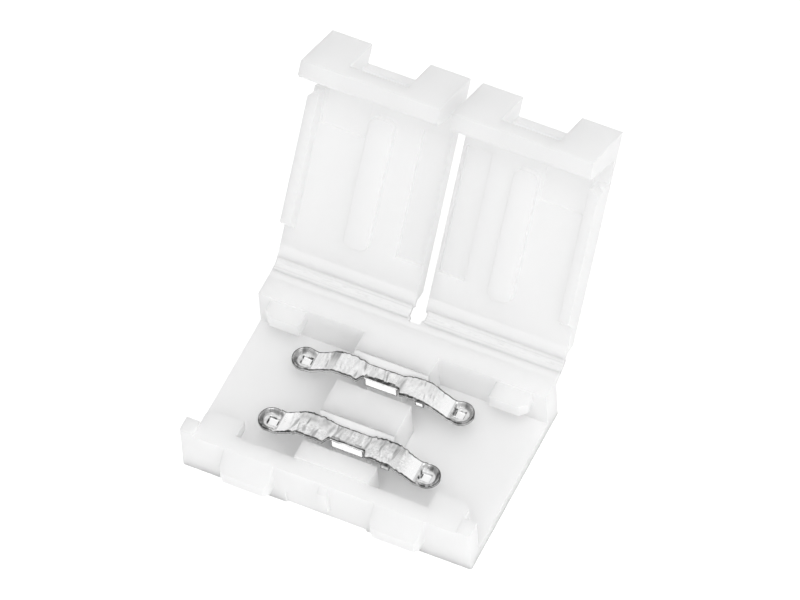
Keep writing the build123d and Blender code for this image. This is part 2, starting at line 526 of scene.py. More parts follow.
def wander(x, y, z):
    """Smooth noise from about -1 to 1."""
    return noise.noise(Vector((x, y, z)))


# Node helpers


def new_group(name, inputs, outputs):
    """A shader node group with named inputs, given as (name, kind, default), and named outputs."""
    tree = bpy.data.node_groups.new(name, "ShaderNodeTree")
    for label, kind, default in inputs:
        socket = tree.interface.new_socket(name=label, in_out="INPUT", socket_type=kind)
        socket.default_value = default
    for label, kind in outputs:
        tree.interface.new_socket(name=label, in_out="OUTPUT", socket_type=kind)
    entry = tree.nodes.new("NodeGroupInput")
    entry.location = (-900, 0)
    leave = tree.nodes.new("NodeGroupOutput")
    leave.location = (600, 0)
    return tree, entry, leave


def add_node(tree, kind, x, y, **settings):
    """Adds a node at a place in the tree and sets its properties."""
    item = tree.nodes.new(kind)
    item.location = (x, y)
    for key, value in settings.items():
        setattr(item, key, value)
    return item


def math_node(tree, operation, x, y, *operands, clamp=False):
    """A math node whose operands are sockets or numbers."""
    item = add_node(tree, "ShaderNodeMath", x, y, operation=operation, use_clamp=clamp)
    for index, value in enumerate(operands):
        if isinstance(value, (int, float)):
            item.inputs[index].default_value = value
        else:
            tree.links.new(value, item.inputs[index])
    return item.outputs[0]


def range_node(tree, value, x, y, **limits):
    """A map range node from a socket. Its limits are named with underscores for spaces."""
    item = add_node(tree, "ShaderNodeMapRange", x, y)
    for key, limit in limits.items():
        item.inputs[key.replace("_", " ")].default_value = limit
    tree.links.new(value, item.inputs["Value"])
    return item.outputs["Result"]


def place_group(tree, group, x, y, **values):
    """Places a node group and sets its inputs by name, with underscores for spaces."""
    item = add_node(tree, "ShaderNodeGroup", x, y, node_tree=group)
    for key, value in values.items():
        item.inputs[key.replace("_", " ")].default_value = value
    return item


def seen_rays(tree, x, y):
    """Two masks: rays from the camera or a reflection, and rays through the plastic."""
    path = add_node(tree, "ShaderNodeLightPath", x, y)
    direct = path.outputs["Is Camera Ray"]
    seen = math_node(tree, "MAXIMUM", x + 200, y, direct, path.outputs["Is Glossy Ray"])
    return seen, path.outputs["Is Transmission Ray"]


def new_material(name):
    """An empty node material with its Principled BSDF and its output."""
    material = bpy.data.materials.new(name)
    material.use_nodes = True
    tree = material.node_tree
    tree.nodes.clear()
    output = add_node(tree, "ShaderNodeOutputMaterial", 600, 0)
    shader = add_node(tree, "ShaderNodeBsdfPrincipled", 300, 0)
    tree.links.new(shader.outputs["BSDF"], output.inputs["Surface"])
    return material, tree, shader, output


def mix_colours(tree, shader, first, second, share):
    """Base colour that goes from one colour to another with a share from 0 to 1."""
    tint = add_node(tree, "ShaderNodeMix", -250, 300, data_type="RGBA")
    tint.inputs["A"].default_value = (*first, 1.0)
    tint.inputs["B"].default_value = (*second, 1.0)
    tree.links.new(share, tint.inputs["Factor"])
    tree.links.new(tint.outputs["Result"], shader.inputs["Base Color"])


def raise_grain(tree, shader, height, strength, depth):
    """Raises the grain by a depth in millimetres."""
    bump = add_node(tree, "ShaderNodeBump", 0, -250)
    bump.inputs["Strength"].default_value = strength
    bump.inputs["Distance"].default_value = depth * MM
    tree.links.new(height, bump.inputs["Height"])
    tree.links.new(bump.outputs["Normal"], shader.inputs["Normal"])


def let_light_in(shader, milk, travel):
    """Makes a shader milky, with light that travels a distance in millimetres."""
    shader.inputs["IOR"].default_value = PLASTIC_IOR
    shader.inputs["Subsurface Weight"].default_value = milk
    shader.inputs["Subsurface Radius"].default_value = (1.0, 1.0, 1.0)
    shader.inputs["Subsurface Scale"].default_value = travel * MM


# Effects that several materials share


def grain_group():
    """Fine moulded or rolled grain: a height, and a slow cloud from 0 to 1."""
    name = "Surface grain"
    if name in bpy.data.node_groups:
        return bpy.data.node_groups[name]
    inputs = (
        ("Grain size", "NodeSocketFloat", 0.0001),
        ("Cloud size", "NodeSocketFloat", 0.004),
        ("Stretch", "NodeSocketVector", (1.0, 1.0, 1.0)),
    )
    outputs = (("Height", "NodeSocketFloat"), ("Cloud", "NodeSocketFloat"))
    tree, entry, leave = new_group(name, inputs, outputs)
    place = add_node(tree, "ShaderNodeTexCoord", -900, 300)
    stretched = add_node(tree, "ShaderNodeVectorMath", -700, 300, operation="MULTIPLY")
    tree.links.new(place.outputs["Object"], stretched.inputs[0])
    tree.links.new(entry.outputs["Stretch"], stretched.inputs[1])
    fine_scale = math_node(tree, "DIVIDE", -700, 100, 1.0, entry.outputs["Grain size"])
    slow_scale = math_node(tree, "DIVIDE", -700, -100, 1.0, entry.outputs["Cloud size"])
    fine = add_node(tree, "ShaderNodeTexNoise", -450, 200)
    fine.inputs["Detail"].default_value = 2.0
    fine.inputs["Roughness"].default_value = 0.6
    tree.links.new(stretched.outputs[0], fine.inputs["Vector"])
    tree.links.new(fine_scale, fine.inputs["Scale"])
    slow = add_node(tree, "ShaderNodeTexNoise", -450, -100)
    slow.inputs["Detail"].default_value = 3.0
    tree.links.new(stretched.outputs[0], slow.inputs["Vector"])
    tree.links.new(slow_scale, slow.inputs["Scale"])
    cloud = range_node(tree, slow.outputs["Fac"], -200, -100, From_Min=0.35, From_Max=0.65)
    tree.links.new(fine.outputs["Fac"], leave.inputs["Height"])
    tree.links.new(cloud, leave.inputs["Cloud"])
    return tree


def scuff_group():
    """Sparse fine handling scratches as a mask from 0 to 1."""
    name = "Fine scuffs"
    if name in bpy.data.node_groups:
        return bpy.data.node_groups[name]
    inputs = (
        ("Spacing", "NodeSocketFloat", 0.002),
        ("Amount", "NodeSocketFloat", 0.3),
    )
    tree, entry, leave = new_group(name, inputs, (("Mask", "NodeSocketFloat"),))
    place = add_node(tree, "ShaderNodeTexCoord", -900, 300)
    turned = add_node(tree, "ShaderNodeMapping", -700, 300)
    turned.inputs["Rotation"].default_value = (0.5, 0.3, 0.7)
    turned.inputs["Scale"].default_value = (1.0, 14.0, 1.0)
    tree.links.new(place.outputs["Object"], turned.inputs["Vector"])
    scale = math_node(tree, "DIVIDE", -700, 0, 1.0, entry.outputs["Spacing"])
    lines = add_node(tree, "ShaderNodeTexNoise", -450, 100)
    lines.inputs["Detail"].default_value = 4.0
    lines.inputs["Distortion"].default_value = 0.3
    tree.links.new(turned.outputs["Vector"], lines.inputs["Vector"])
    tree.links.new(scale, lines.inputs["Scale"])
    peaks = range_node(tree, lines.outputs["Fac"], -200, 100, From_Min=0.62, From_Max=0.72)
    amount = math_node(tree, "MULTIPLY", 50, 0, peaks, entry.outputs["Amount"])
    tree.links.new(amount, leave.inputs["Mask"])
    return tree


# Materials


def plastic_material(name):
    """Frosted natural plastic, slightly cloudy, with a fine grain and faint scuffs."""
    if name in bpy.data.materials:
        return bpy.data.materials[name]
    look = bpy.context.scene.connector_plastic
    material, tree, shader, output = new_material(name)
    grain = place_group(tree, grain_group(), -600, 200, Grain_size=look.grain, Cloud_size=2.5 * MM)
    scuffs = place_group(tree, scuff_group(), -600, -200, Spacing=1.6 * MM, Amount=0.08)
    mix_colours(tree, shader, look.colour, look.cloud, grain.outputs["Cloud"])
    cloudy = range_node(tree, grain.outputs["Cloud"], -250, 50, To_Min=0.42, To_Max=0.56)
    roughness = math_node(tree, "SUBTRACT", -50, 0, cloudy, scuffs.outputs["Mask"])
    tree.links.new(roughness, shader.inputs["Roughness"])
    raise_grain(tree, shader, grain.outputs["Height"], 0.35, 0.01)
    let_light_in(shader, *PLASTICS[name])
    return material


def film_material():
    """The same plastic drawn thin at the hinge, with painted shade along its creases and on its
    crumples.
    """
    name = "Creased hinge plastic"
    if name in bpy.data.materials:
        return bpy.data.materials[name]
    look = bpy.context.scene.connector_plastic
    material, tree, shader, output = new_material(name)
    grain = place_group(tree, grain_group(), -600, 200, Grain_size=look.grain, Cloud_size=0.8 * MM)
    # How much painted shade lies on the creases and crumples
    crease_shade = add_node(tree, "ShaderNodeAttribute", -600, 450, attribute_name="crease_shade")
    mix_colours(tree, shader, look.film_colour, look.crease_shade, crease_shade.outputs["Fac"])
    cloudy = range_node(tree, grain.outputs["Cloud"], -250, 50, To_Min=0.35, To_Max=0.5)
    tree.links.new(cloudy, shader.inputs["Roughness"])
    raise_grain(tree, shader, grain.outputs["Height"], 0.4, 0.01)
    let_light_in(shader, FILM_MILK, FILM_TRAVEL)
    return material


def metal_material():
    """Bright plated spring sheet, with painted shade and painted reflections in its folds, bends
    and crinkles and along its edges, and a little dull haze.
    """
    name = "Bright plated spring sheet"
    if name in bpy.data.materials:
        return bpy.data.materials[name]
    look = bpy.context.scene.connector_contact
    material, tree, shader, output = new_material(name)
    rolled = {"Grain_size": 0.12 * MM, "Cloud_size": 0.7 * MM, "Stretch": (2.5, 0.6, 1.0)}
    grain = place_group(tree, grain_group(), -900, 200, **rolled)
    scuffs = place_group(tree, scuff_group(), -900, -200, Spacing=0.9 * MM, Amount=0.35)
    # The attribute holds painted shade and painted reflections, with some dull haze
    shade = add_node(tree, "ShaderNodeAttribute", -900, 450, attribute_name="tarnish_and_shade")
    broken = math_node(tree, "MULTIPLY_ADD", -600, 450, grain.outputs["Cloud"], 0.5, 0.75)
    tarnish_and_shade_share = math_node(tree, "MULTIPLY", -400, 450, shade.outputs["Fac"], broken, clamp=True)
    mix_colours(tree, shader, look.colour, look.tarnish_and_shade, tarnish_and_shade_share)
    cloudy = range_node(tree, grain.outputs["Cloud"], -400, 100, To_Min=0.22, To_Max=0.38)
    roughness = math_node(tree, "ADD", -150, 50, cloudy, scuffs.outputs["Mask"])
    tree.links.new(roughness, shader.inputs["Roughness"])
    raise_grain(tree, shader, grain.outputs["Height"], 0.5, 0.02)
    shader.inputs["Metallic"].default_value = 1.0
    return material


def tabletop_material(colour):
    """Plain tabletop that shows white behind the part, seen directly or through the plastic."""
    material, tree, shader, output = new_material("White tabletop")
    grain = place_group(tree, grain_group(), -600, 200, Grain_size=2 * MM, Cloud_size=60 * MM)
    cloudy = range_node(tree, grain.outputs["Cloud"], -300, 100, To_Min=0.7, To_Max=0.8)
    tree.links.new(cloudy, shader.inputs["Roughness"])
    shader.inputs["Base Color"].default_value = (*colour, 1.0)
    shader.inputs["Specular IOR Level"].default_value = 0.0
    seen, passing = seen_rays(tree, -300, -300)
    faint = math_node(tree, "MULTIPLY", 50, -300, seen, TABLE_SEEN)
    through = math_node(tree, "MULTIPLY", 50, -450, passing, TABLE_THROUGH)
    glow = add_node(tree, "ShaderNodeEmission", 300, -250)
    tree.links.new(math_node(tree, "MAXIMUM", 180, -300, faint, through), glow.inputs["Strength"])
    both = add_node(tree, "ShaderNodeAddShader", 450, -50)
    tree.links.new(shader.outputs["BSDF"], both.inputs[0])
    tree.links.new(glow.outputs["Emission"], both.inputs[1])
    tree.links.new(both.outputs["Shader"], output.inputs["Surface"])
    return material


# Base and covers


def base_plastic(face, floor_top):
    """The plastic that a face of the base gets, by how thick the moulding is behind it."""
    place = face.center
    upright = abs(face.normal.z) < 0.5
    on_floor = face.normal.z > 0.99 and abs(place.z - floor_top) < 0.05 * MM
    on_block = abs(place.x) < BLOCK_X * MM and abs(place.y) < BLOCK_Y * MM
    within = abs(place.x) < INNER_X * MM and INNER_FRONT * MM < place.y < INNER_REAR * MM
    if on_block and face.normal.z > 0.9 and place.z > BLOCK_Z * MM:
        return "Thick frosted plastic"
    if on_floor or (upright and place.z < LOW_WALL * MM):
        return "Thin frosted plastic"
    if place.y > NOSE_START * MM:
        return "Frosted plastic at the hinge"
    if not upright:
        return "Frosted plastic of the base"
    return "Frosted plastic of the inner walls" if within else "Frosted plastic of the outer walls"


def cover_plastic(beyond):
    """The plastic of a cover at a distance beyond the start of its land."""
    if beyond > 0.0:
        return "Frosted plastic at the hinge"
    if beyond < (SKIRT_START - LAND_START) * MM:
        return "Frosted plastic of the skirts"
    return "Frosted plastic of the covers"


def slope_mesh():
    """The sloped faces of the middle blocks, against which the contacts' rear edges lie."""
    bm = bmesh.new()
    for row in ROWS:
        low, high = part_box(f"{row}_contact")
        middle = high[1] / MM - CONTACT_REAR
        ends = []
        for x in (-RAMP_X, RAMP_X):
            ends.append([bm.verts.new((x, middle + y, z)) for y, z in RAMP_SECTION])
        for j in range(3):
            k = (j + 1) % 3
            bm.faces.new((ends[0][j], ends[1][j], ends[1][k], ends[0][k]))
        bm.faces.new(ends[0])
        bm.faces.new(reversed(ends[1]))
    bmesh.ops.bevel(
        bm,
        geom=bm.edges[:],
        offset=RAMP_BEVEL,
        segments=2,
        profile=0.5,
        affect="EDGES",
    )
    return finished_mesh(bm, "block_ramps")


# Hinge films


def opened(y, z):
    """Where a point of the closed cover lies when the cover stands open."""
    cos, sin = math.cos(OPEN_TURN), math.sin(OPEN_TURN)
    dy, dz = y - HINGE[0], z - HINGE[1]
    return Vector((HINGE[0] + dy * cos - dz * sin, HINGE[1] + dy * sin + dz * cos))


def film_path(thickness, count=18):
    """Middle line of the film, from its lap on the base to its lap on the open cover.

    Each point is (place, direction, share of the free bend that is behind it).
    """
    start = Vector((NOSE_END[0], NOSE_END[1] + PROUD - thickness / 2))
    inside = COVER_FACE - PROUD + thickness / 2
    end = opened(NOSE_END[0], inside)
    leave = Vector((1.0, 0.0))
    arrive = (opened(0.0, inside) - opened(1.0, inside)).normalized()
    points = [(start - leave * LAP, leave, 0.0)]
    for i in range(count + 1):
        t = i / count
        a, b = start, start + leave * FILM_EASE
        c, d = end - arrive * FILM_EASE, end
        place = a * (1 - t) ** 3 + b * 3 * t * (1 - t) ** 2 + c * 3 * t * t * (1 - t) + d * t**3
        slope = (b - a) * (1 - t) ** 2 + (c - b) * 2 * t * (1 - t) + (d - c) * t * t
        points.append((place, slope.normalized(), t))
    points.append((end + arrive * LAP, arrive, 1.0))
    return points


def film_mesh(name, x0, x1, thickness, seed):
    """A thin film bent along its middle line, slightly crumpled, with painted shade along a crease
    near each end and on its crumples.
    """
    bm = bmesh.new()
    layer = bm.verts.layers.float.new("crease_shade")
    path = film_path(thickness)
    loops = []
    for i in range(FILM_STEPS + 1):
        x = x0 + (x1 - x0) * i / FILM_STEPS
        near = 1.1 - i / FILM_STEPS + 0.4 * wander(x * 0.8, 2.0, seed)
        away = 0.1 + i / FILM_STEPS + 0.4 * wander(x * 0.8, 9.0, seed)
        upper = []
        lower = []
        for place, direction, t in path:
            free = math.sin(math.pi * t)
            crumple = wander(x * 1.3, t * 5.0, seed) + 0.6 * wander(x * 4.0, t * 9.0, seed)
            side = Vector((-direction.y, direction.x))
            top = place + side * (thickness / 2 + CRUMPLE * crumple * free)
            bottom = place - side * (thickness / 2)
            # Painted shade along the crease at the base, darker towards the left, along the crease
            # at the cover, darker towards the right, and on the crumples
            crease_shade = max(near * bell(t, 0.10, 0.09), away * bell(t, 0.88, 0.08), 0.0)
            crease_shade = max(crease_shade, 0.7 * ramp(abs(crumple), 0.25, 0.6) * free)
            upper.append((Vector((x, top.x, top.y)), min(crease_shade, 1.0)))
            lower.append((Vector((x, bottom.x, bottom.y)), 0.0))
        loops.append(upper + lower[::-1])
    join_loops(bm, loops, layer)
    return finished_mesh(bm, name)


# Contacts: the run of the sheet


def line_height(x, points, reach):
    """Height of a line through points at x, with its corners rounded over a reach."""
    total = 0.0
    samples = 9
    for k in range(samples):
        at = x + reach * (2 * k / (samples - 1) - 1)
        value = points[-1][1]
        if at <= points[0][0]:
            value = points[0][1]
        for (x0, y0), (x1, y1) in zip(points, points[1:]):
            if x0 <= at <= x1:
                value = y0 + (y1 - y0) * (at - x0) / (x1 - x0)
        total += value
    return total / samples


def edge_wave(x, row, seed):
    """How far a sheared edge wanders from its line."""
    return 0.022 * wander(x * 2.2, row, seed) + 0.016 * wander(x * 7.0, row - 2.0, seed)


def edges_at(x, look):
    """Where the sheet's front and rear edges lie at x."""
    far = abs(x)
    if far >= NECK_X:
        half = math.sqrt(max(SPOON_R**2 - (far - SPOON_X) ** 2, 0.0))
        return -half, half
    arm = look["half"] - 0.04 * band(far, 3.2, 3.6, 0.5)
    wild = band(far, 1.3, 3.1, 0.3)
    front = WAIST_FRONT + (arm - WAIST_FRONT) * ramp(far, 0.98, 1.22)
    notch = 0.05 * band(far, 1.35, 1.45, 0.1)
    rear = look["back"] + (arm - look["back"]) * ramp(far, 1.0, 1.5) - notch
    front_wave = edge_wave(x, 3.0, look["seed"])
    rear_wave = edge_wave(x, 7.0, look["seed"])
    return -front + front_wave * wild * look["wave"], rear + rear_wave * (0.3 + wild) * look["wave"]


def rim_distance(x, y, front, rear):
    """How far a place on the sheet lies from its nearest edge."""
    far = abs(x)
    if far > SPOON_X:
        return SPOON_R - math.hypot(far - SPOON_X, y)
    return min(y - front, rear - y)


def spoon_share(far):
    """1 on the spoon and 0 on the arm."""
    return ramp(far, CREASE_X, CREASE_X + 0.12)


def tooth_share(far, y):
    """1 on the tooth's flat foot and 0 outside the tooth."""
    return (1 - ramp(abs(far - TOOTH_X), *TOOTH_ALONG)) * (1 - ramp(abs(y), *TOOTH_ACROSS))


def waist_share(far):
    """1 on the waist and 0 on the humps."""
    return 1 - ramp(far, 0.95, 1.5)


def arm_share(far):
    """1 on the waist and humps and 0 on the slope to the spoon."""
    return 1 - ramp(far, 2.9, 3.5)


def fold_ridges(x, y, seed):
    """The sharp ridges that run across the sheet, from -1 to 1."""
    return wander(x * 6.5 + y * 1.5, y * 1.3, seed)


def sheet_height(x, y, rim, look):
    """Height of the sheet's upper face, with its dished spoons, teeth and crinkles."""
    far = abs(x)
    seed = look["seed"]
    spoon = spoon_share(far)
    trough = spoon * ramp(rim, *TROUGH_RIM)
    curl = spoon * bell(rim, CURL_RIM, CURL_WIDTH)
    facets = wander(x * 2.6, y * 3.0, seed + 4.0)
    height = line_height(far, PROFILE, BEND_REACH)
    height += CURL_RISE * curl - TROUGH_DEPTH * trough - TOOTH_DEPTH * tooth_share(far, y)
    crinkle = fold_ridges(x, y, seed) + (1.2 + 1.4 * waist_share(far)) * facets
    return height + look["crinkle"] * arm_share(far) * crinkle


# Contacts: the marks on the sheet, dark from 0 to 1, mostly painted shade and painted reflections,
# with some dull haze


def edge_mark(rim, mottle):
    """Painted shade and painted dark reflection along the sheared edge, over the edge's own duller
    metal.
    """
    wide = 0.07 + 0.05 * mottle
    return (0.8 + 0.3 * mottle) * (1 - ramp(rim, wide * 0.5, wide))


def arm_marks(x, y, mottle, look):
    """Haze, painted shade on the bend before each slope to the spoon and on the rear of the humps,
    a darker streaked waist, and painted shade along the crinkle streaks and ridges.
    """
    far = abs(x)
    seed = look["seed"]
    side = "left" if x < 0 else "right"
    ridges = fold_ridges(x, y, seed)
    streaks = wander(x * 6.0 - y * 1.2, y * 1.0 + x * 0.5, seed + 8.0)
    speck = wander(x * 9.0, y * 11.0, seed + 5.0)
    arm = arm_share(far)
    return (
        look["film"] * arm * (0.3 + 0.8 * mottle + 0.9 * speck),
        # Painted shade on the bend from the hump down to the slope, set for each side
        look[side] * band(far, 2.5, 2.85, 0.12) * (0.7 + 0.8 * ramp(y, -0.3, 0.5)),
        # Painted shade towards the rear of the humps, broken up at random
        look["hump_shade"] * band(far, 1.3, 2.7, 0.35) * ramp(y, -0.35, 0.45) * (0.5 + mottle),
        look["waist"] * waist_share(far) * (0.45 + 0.9 * streaks + 0.3 * mottle),
        # Streaks on the humps, partly painted shade along the crinkle ridges
        look["streak"] * band(far, 1.4, 2.9, 0.3) * ramp(streaks + 0.3 * ridges, 0.05, 0.45),
        # Painted shade on the crinkle ridges
        arm * 0.5 * ramp(abs(ridges), 0.38, 0.6),
    )


def dark_span_marks(x, y, front, rear, mottle, look):
    """Broad dark bands along parts of the edges."""
    wide = 0.06 + 0.13 * mottle
    marks = []
    for x0, x1, edge in look["dark_spans"]:
        inward = rear - y if edge == "rear" else y - front
        marks.append(band(x, x0, x1, 0.12) * (1 - ramp(inward, wide * 0.7, wide)))
    return marks


def spoon_marks(x, rim, mottle):
    """Painted shade on the spoon: a grey ring on its dished slope that darkens towards the tip, and
    a dark line along the crease before it; also darker patches in its bottom.
    """
    far = abs(x)
    spoon = spoon_share(far)
    tip = ramp((far - SPOON_X) / SPOON_R, -0.6, 0.4)
    return (
        # Painted shade on the dished slope, darker towards the tip
        spoon * (0.3 + 0.25 * tip + 0.3 * mottle) * band(rim, 0.08, 0.26, 0.07),
        0.45 * (spoon * ramp(rim, *TROUGH_RIM)) * mottle,
        # Painted shade along the crease
        0.35 * band(far, CREASE_X - 0.03, CREASE_X, 0.04),
    )


def tooth_marks(far, y, mottle):
    """Painted shade on the walls of the tooth, and a dark line painted in for the slit at its inner
    end.
    """
    along = abs(far - TOOTH_X)
    wall = band(along, 0.28, 0.30, 0.03) * (1 - ramp(abs(y), 0.24, 0.28))
    wall = max(wall, band(abs(y), 0.23, 0.25, 0.03) * (1 - ramp(along, 0.26, 0.30)))
    slit = band(far, 3.96, 4.0, 0.025) * (1 - ramp(abs(y - 0.05), 0.12, 0.17))
    return wall * (0.25 + 0.9 * ramp(mottle, 0.45, 0.6)), slit


def sheet_dullness_and_shade(x, y, rim, front, rear, look):
    """How dark the sheet is painted at a place, from 0 to 1: painted shade and painted reflections,
    with some dull haze.
    """
    far = abs(x)
    # Random mottle that varies the painted shade and the haze alike
    mottle = 0.5 + 0.5 * wander(x * 5.0, y * 5.0, look["seed"] + 2.0)
    marks = [edge_mark(rim, mottle)]
    marks.extend(arm_marks(x, y, mottle, look))
    marks.extend(dark_span_marks(x, y, front, rear, mottle, look))
    marks.extend(spoon_marks(x, rim, mottle))
    return max(max(marks) * (1 - tooth_share(far, y)), *tooth_marks(far, y, mottle))


# Contacts: the meshes


def contact_stations():
    """Places along the contact at which its section is drawn."""
    arm = [i * STEP for i in range(int(NECK_X / STEP) + 1)]
    first = math.asin((NECK_X - SPOON_X) / SPOON_R)
    last = math.radians(87)
    turns = [first + (last - first) * i / TIP_STEPS for i in range(1, TIP_STEPS + 1)]
    half = arm + [SPOON_X + SPOON_R * math.sin(turn) for turn in turns]
    return [-x for x in reversed(half[1:])] + half


def contact_side(x, edge, way, top, thickness, corner):
    """The rounded side of the sheet from top to bottom, as (point, darkness), with painted dark
    lines along its upper and lower corners and a wall painted darker towards the spoons.
    """
    dull_and_shade = 0.15 + 0.4 * ramp(abs(x), 3.9, 4.4)
    # Painted shade: dark lines along both corners, a lighter wall between them
    wall = (
        (edge - way * corner * 0.3, top - corner * 0.3, 1.0),
        (edge, top - corner, 0.8),
        (edge, top - corner * 1.8, dull_and_shade),
        (edge, top - thickness + corner * 2.2, dull_and_shade),
        (edge, top - thickness + corner * 1.2, 0.9),
        (edge - way * corner * 0.3, top - thickness + corner * 0.3, 1.0),
    )
    return [(Vector((x, y, z)), shade) for y, z, shade in wall]


def contact_section(x, thickness, look):
    """The closed section of the sheet at x, with rounded corners, as (point, darkness), the
    darkness mostly painted shade.
    """
    front, rear = edges_at(x, look)
    corner = min(CORNER, (rear - front) * 0.1)
    upper = []
    for j in range(SHEET_STEPS + 1):
        t = 0.4 * (0.5 - 0.5 * math.cos(math.pi * j / SHEET_STEPS)) + 0.6 * j / SHEET_STEPS
        y = front + corner + (rear - front - 2 * corner) * t
        rim = rim_distance(x, y, front, rear)
        dull_and_shade = sheet_dullness_and_shade(x, y, rim, front, rear, look)
        # Painted shade along the front edge of the waist, where the leg folds down
        if abs(x) < FOLD_HALF:
            dull_and_shade = max(dull_and_shade, look["fold_shade"] * (1 - ramp(y, -0.17, -0.04)))
        upper.append((Vector((x, y, sheet_height(x, y, rim, look))), dull_and_shade))
    under = []
    for j in range(UNDER_STEPS + 1):
        y = rear - corner + (front - rear + 2 * corner) * j / UNDER_STEPS
        z = sheet_height(x, y, rim_distance(x, y, front, rear), look)
        under.append((Vector((x, y, z - thickness)), 0.5))
    rear_side = contact_side(x, rear, 1, upper[-1][0].z, thickness, corner)
    front_side = contact_side(x, front, -1, upper[0][0].z, thickness, corner)
    return upper + rear_side + under + front_side[::-1]


def add_strip(bm, layer, path, x0, x1, thickness, dull_and_shade):
    """Adds a bent strip that follows a path of (y, z) between two places along X."""
    loops = []
    for i in range(STRIP_STEPS + 1):
        x = x0 + (x1 - x0) * i / STRIP_STEPS
        outer = []
        inner = []
        for j, (y, z) in enumerate(path):
            before = path[max(j - 1, 0)]
            after = path[min(j + 1, len(path) - 1)]
            along = Vector((after[0] - before[0], after[1] - before[1])).normalized()
            outer.append((Vector((x, y, z)), dull_and_shade(x, z)))
            inner.append((Vector((x, y - along.y * thickness, z + along.x * thickness)), 0.5))
        loops.append(outer + inner[::-1])
    join_loops(bm, loops, layer)


def add_leg(bm, layer, thickness, look):
    """Adds the leg that is folded down from the waist."""

    def dull_and_shade(x, z):
        # Painted shade: a ragged dark band along the fold, and dark outlines along the leg's sides
        # and foot
        ragged = 2.60 + 0.05 * wander(x * 6.0, 0.0, look["seed"])
        outline = max(ramp(abs(x), 0.83, 0.865), 1 - ramp(z, 2.0, 2.04))
        return max(look["fold_shade"] * ramp(z, ragged - 0.02, ragged + 0.02), 0.8 * outline)

    face, top = LEG_FOLD[-1]
    path = [*LEG_FOLD, *((face, top - LEG_PITCH * k) for k in range(1, 15)), (face, LEG_FOOT)]
    add_strip(bm, layer, path, -LEG_HALF, LEG_HALF, thickness, dull_and_shade)


def add_lug(bm, layer, thickness, look):
    """Adds the small lug that is folded down from the right arm."""

    def dull_and_shade(x, z):
        # Painted shade: a dark band along the lug's fold and dark outlines along its sides and
        # lower end, over an overall darkness set for each contact
        middle = (LUG_START + LUG_END) / 2
        outline = max(ramp(abs(x - middle), 0.16, 0.19), 1 - ramp(z, 2.61, 2.65))
        return max(0.9 * ramp(z, 2.84, 2.87), 0.85 * outline, look["lug"])

    reach = look["half"] + LUG_REACH
    path = [(y - reach, z) for y, z in LUG_FOLD] + [(-reach, z) for z in LUG_HEIGHTS]
    add_strip(bm, layer, path, LUG_START, LUG_END, thickness * 0.8, dull_and_shade)


def bow_normals(mesh):
    """Shades the folded faces as if bowed outwards, so that they catch the light from above."""
    normals = []
    for vertex in mesh.vertices:
        folded = vertex.normal.y < -0.9 and vertex.normal.z < 0.1
        leg = abs(vertex.co.x) < LEG_ZONE * MM
        lug = LUG_ZONE[0] * MM < vertex.co.x < LUG_ZONE[1] * MM and vertex.co.y < LUG_FACE * MM
        bowed = folded and (leg or lug)
        normals.append(Vector(BOWED) if bowed else vertex.normal.copy())
    mesh.normals_split_custom_set_from_vertices(normals)


def contact_mesh(name, thickness, look):
    """One contact with its leg and its small folded lug, in metres about its own middle."""
    bm = bmesh.new()
    layer = bm.verts.layers.float.new("tarnish_and_shade")
    join_loops(bm, [contact_section(x, thickness, look) for x in contact_stations()], layer)
    add_leg(bm, layer, thickness, look)
    add_lug(bm, layer, thickness, look)
    mesh = finished_mesh(bm, name)
    bow_normals(mesh)
    return mesh


# Operators


class CONNECTOR_OT_base(bpy.types.Operator):
    """Dresses the base moulding and adds the slopes of its blocks"""

    bl_idname = "connector.base"
    bl_label = "Base moulding"

    def execute(self, context):
        entry = next(m for m in frame["record"]["mounts"] if m["name"] == "strip_entry_left")
        floor_top = entry["pos_m"][2]

        def choose(face):
            return base_plastic(face, floor_top)

        nose = (0.0, NOSE_START * MM, 0.0)
        piece = add_moulding("base", nose, (0.0, 1.0, 0.0), BASE_PLASTICS, choose)
        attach(piece, "base")
        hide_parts("base")
        sloped = plastic_material("Sloped frosted plastic")
        slopes = add_piece("block_ramps", slope_mesh(), "housing", sloped)
        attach(slopes, "base")
        weight_normals(slopes)
        return {"FINISHED"}


class CONNECTOR_OT_covers(bpy.types.Operator):
    """Dresses the left and right covers"""

    bl_idname = "connector.covers"
    bl_label = "Covers"

    def execute(self, context):
        land = Vector((0.0, *opened(LAND_START, COVER_FACE))) * MM
        along = Vector((0.0, *(opened(1.0, 0.0) - opened(0.0, 0.0))))

        def choose(face):
            return cover_plastic((face.center - land).dot(along))

        for node in ("left_cover", "right_cover"):
            piece = add_moulding(node, land, along, COVER_PLASTICS, choose)
            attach(piece, node)
            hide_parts(node)
        return {"FINISHED"}


class CONNECTOR_OT_films(bpy.types.Operator):
    """Bends the two hinge films between the base and the covers"""

    bl_idname = "connector.films"
    bl_label = "Hinge films"

    def execute(self, context):
        thickness = context.scene.connector_plastic.film / MM
        for side, seed in (("left", 3.0), ("right", 11.0)):
            low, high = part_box(f"{side}_hinge_film")
            mesh = film_mesh(f"{side}_hinge_web", low[0] / MM, high[0] / MM, thickness, seed)
            piece = add_piece(f"{side}_hinge_web", mesh, "housing", film_material())
            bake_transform(piece)
            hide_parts(f"{side}_hinge_film")
        return {"FINISHED"}


